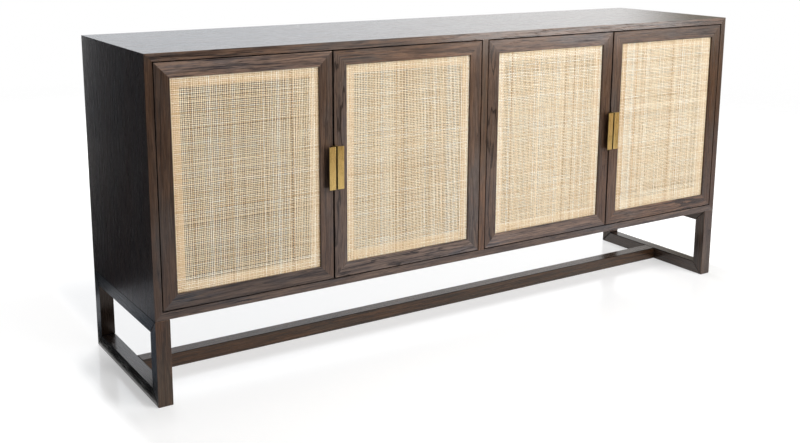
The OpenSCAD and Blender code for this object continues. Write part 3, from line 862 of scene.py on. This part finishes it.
# Where the right pair of pulls mirrors the sheets, and the painted shade put there.
PULLS_FROM, PULLS_TO = (1.65, 1.85), (2.5, 2.3)
PULL_SHADE, PULL_SHADE_UP = (0.04, 0.035, 0.03), (0.26, 0.12)
BACK_GREY, BACK_WHITE, BACK_BROWN = (0.785, 0.825, 0.870), (1, 1, 1), (0.20, 0.18, 0.14)
BACK_BANDS = ((0.0, 3.6), (3.55, 4.45))
BACK_CORNERS = [(-1.5, 3.0, 0), (6.0, 3.0, 0), (6.0, 3.0, 2.4), (-1.5, 3.0, 2.4)]
CLOTH_HEIGHT = 0.002
END_CLOTH_PLACE = (-0.905, 0.3, CLOTH_HEIGHT)
END_CLOTH_CORNERS = [(-2.0, -1.4, 0), (0, -1.4, 0), (0, 1.4, 0), (-2.0, 1.4, 0)]
END_CLOTH_SPREAD, END_CLOTH_FADE = (0.8, 1.5, 1.0), (1.0, 0.6)
FOOT_BAND, FAR_BAND = (0.03, 0.045), (0.17, 0.22)
OPEN_ALONG, OPEN_FROM_FOOT = (0.0, 0.15), (0.20, 0.17)
CLOTH_NEAR, CLOTH_OPEN, CLOTH_FAR = (0.20, 0.24, 0.30), (0.85, 0.89, 0.96), (0.26, 0.27, 0.30)
FRONT_LEFT, FRONT_RIGHT, FRONT_BAND = (0.62, 0.71, 0.83), (1.05, 1.08, 1.19), (-0.6, 0.1)
FRONT_EDGE, FRONT_EDGE_BAND = (0.10, 0.09, 0.07), (-1.45, -1.6)
FRONT_CLOTH_OUTLINE = ((-1.2, -1.5), (1.4, -1.5), (1.4, -1.9), (3.4, -1.9), (3.4, -0.45),
                       (-1.2, -0.45))


def gloss_only(sheet):
    """Leaves a stage piece to be seen by gloss alone."""
    sheet.visible_camera = False
    sheet.visible_diffuse = False
    sheet.visible_shadow = False


def show_one_side(finish, shader, amount):
    """Leaves a glowing sheet or a cloth clear to rays that come from behind it."""
    front = math_of(finish, "SUBTRACT", 1.0, add(finish, "NewGeometry").outputs["Backfacing"])
    join(finish, math_of(finish, "MULTIPLY", front, amount), shader, "Alpha")


def glowing_sheet(name):
    """A black finish without gloss that shows only the glow it is given, and the X, Y and Z
    of its points."""
    finish, shader = new_finish(name)
    shader.inputs["Base Color"].default_value = (0, 0, 0, 1)
    shader.inputs["Specular IOR Level"].default_value = 0.0
    shader.inputs["Emission Strength"].default_value = 1.0
    return finish, shader, parts_of(finish, places_of(finish))


def before_pulls(finish, across):
    """1 on the part of a sheet that the right pair of pulls mirrors, and 0 beside it."""
    return math_of(finish, "MULTIPLY", band_of(finish, across, *PULLS_FROM),
                   band_of(finish, across, *PULLS_TO))


# Painted reflections: each sheet glows with its colour, otherwise low down at the left doors, with
# painted shade where the right pulls mirror it.
for name, (foot, head, height, low_glow, glow) in REFLECTION_SHEETS.items():
    finish, shader, (across, _, up) = glowing_sheet(name)
    low = math_of(finish, "MULTIPLY", band_of(finish, up, *LOW_GLOW_UP),
                  band_of(finish, across, *LOW_GLOW_ACROSS))
    dark = math_of(finish, "MULTIPLY", band_of(finish, up, *PULL_SHADE_UP),
                   before_pulls(finish, across))
    lit = blend_of(finish, low, glow, low_glow)
    join(finish, blend_of(finish, dark, lit, PULL_SHADE), shader, "Emission Color")
    show_one_side(finish, shader, 1.0)
    corners = [(*place, 0) for place in foot]
    corners += [(*place, height) for place in reversed(head or foot)]
    gloss_only(flat_sheet(name, corners, finish))

# Painted reflection for the top: grey, then white, then brown across the sheet.
finish, shader, (across, _, _) = glowing_sheet("back_glow_sheet")
to_white, to_brown = (band_of(finish, across, *band) for band in BACK_BANDS)
brighter = blend_of(finish, to_white, BACK_GREY, BACK_WHITE)
join(finish, blend_of(finish, to_brown, brighter, BACK_BROWN), shader, "Emission Color")
gloss_only(flat_sheet("back_glow_sheet", BACK_CORNERS, finish))

# Painted shade in the floor's and the left end's mirror images, black at its foot and lighter
# where the loop is open.
finish, shader = new_finish("painted_shade_cloth")
shader.inputs["Specular IOR Level"].default_value = 0.0
about = places_of(finish)
aside, along_end, _ = parts_of(finish, about)
from_foot = math_of(finish, "ABSOLUTE", aside)
open_part = math_of(finish, "MULTIPLY", band_of(finish, along_end, *OPEN_ALONG),
                    band_of(finish, from_foot, *OPEN_FROM_FOOT))
near_part = blend_of(finish, open_part, CLOTH_NEAR, CLOTH_OPEN)
at_foot = blend_of(finish, band_of(finish, from_foot, *FOOT_BAND), BLACK, near_part)
join(finish, blend_of(finish, band_of(finish, from_foot, *FAR_BAND), at_foot, CLOTH_FAR),
     shader, "Base Color")
spread = vector_of(finish, "LENGTH", stretched(finish, about, END_CLOTH_SPREAD))["Value"]
show_one_side(finish, shader, band_of(finish, spread, *END_CLOTH_FADE))
cloth = flat_sheet("end_shade_cloth", END_CLOTH_CORNERS, finish)
cloth.location = END_CLOTH_PLACE
gloss_only(cloth)

# Painted reflection in the fronts, lighter to the right, with painted shade in a band before the
# right pulls.
finish, shader, (across, out_front, _) = glowing_sheet("front_glow_cloth")
shown = blend_of(finish, band_of(finish, across, *FRONT_BAND), FRONT_LEFT, FRONT_RIGHT)
at_edge = math_of(finish, "MULTIPLY", band_of(finish, out_front, *FRONT_EDGE_BAND),
                  before_pulls(finish, across))
join(finish, blend_of(finish, at_edge, shown, FRONT_EDGE), shader, "Emission Color")
show_one_side(finish, shader, 1.0)
gloss_only(flat_sheet("front_glow_cloth", [(*place, CLOTH_HEIGHT) for place in FRONT_CLOTH_OUTLINE],
                      finish))

# Lamps and sky
# One large lamp stands to the front, a long one hangs above and one lights the back; gloss
# sees none of the three. A low panel at the front right is mirrored in the wood, and the
# white room lights all of it softly.
AMBIENT = 0.24
# Each lamp's place, the point it is aimed at, its size and power, and whether gloss sees it.
LAMPS = {"key_lamp": ((1.2, -3.5, 2.0), (-0.1, -0.2, 0.5), (3.0, 2.0), 172, False),
         "long_lamp": ((0.2, -1.5, 3.0), (0.0, -0.1, 0.5), (3.2, 0.8), 35, False),
         "back_lamp": ((0.8, 3.4, 2.2), (0.0, 0.2, 0.4), (2.0, 1.2), 90, False),
         "standing_panel": ((3.35, -3.7, 0.5), (0.3, -0.2, 0.6), (1.6, 0.8), 21, True)}


def lamp(name, place, aim, size, power, in_gloss):
    """A soft rectangular lamp that faces the point it is aimed at."""
    light = bpy.data.lights.new(name, "AREA")
    light.shape = "RECTANGLE"
    light.size, light.size_y = size
    light.energy = power
    holder = bpy.data.objects.new(name, light)
    holder.location = place
    holder.rotation_euler = (Vector(aim) - Vector(place)).to_track_quat("-Z", "Y").to_euler()
    holder.visible_glossy = in_gloss
    bpy.context.scene.collection.objects.link(holder)


for name, details in LAMPS.items():
    lamp(name, *details)

studio = bpy.data.worlds.new("studio")
studio.use_nodes = True
bpy.context.scene.world = studio
sky = studio.node_tree.nodes["Background"]
sky.inputs["Color"].default_value = (1, 1, 1, 1)
brightness = add(studio, "MapRange", {"Value": seen_directly(studio), "To Min": AMBIENT,
                                      "To Max": 1.0}).outputs[0]
studio.node_tree.links.new(brightness, sky.inputs["Strength"])
bpy.context.scene.view_settings.view_transform = "Standard"
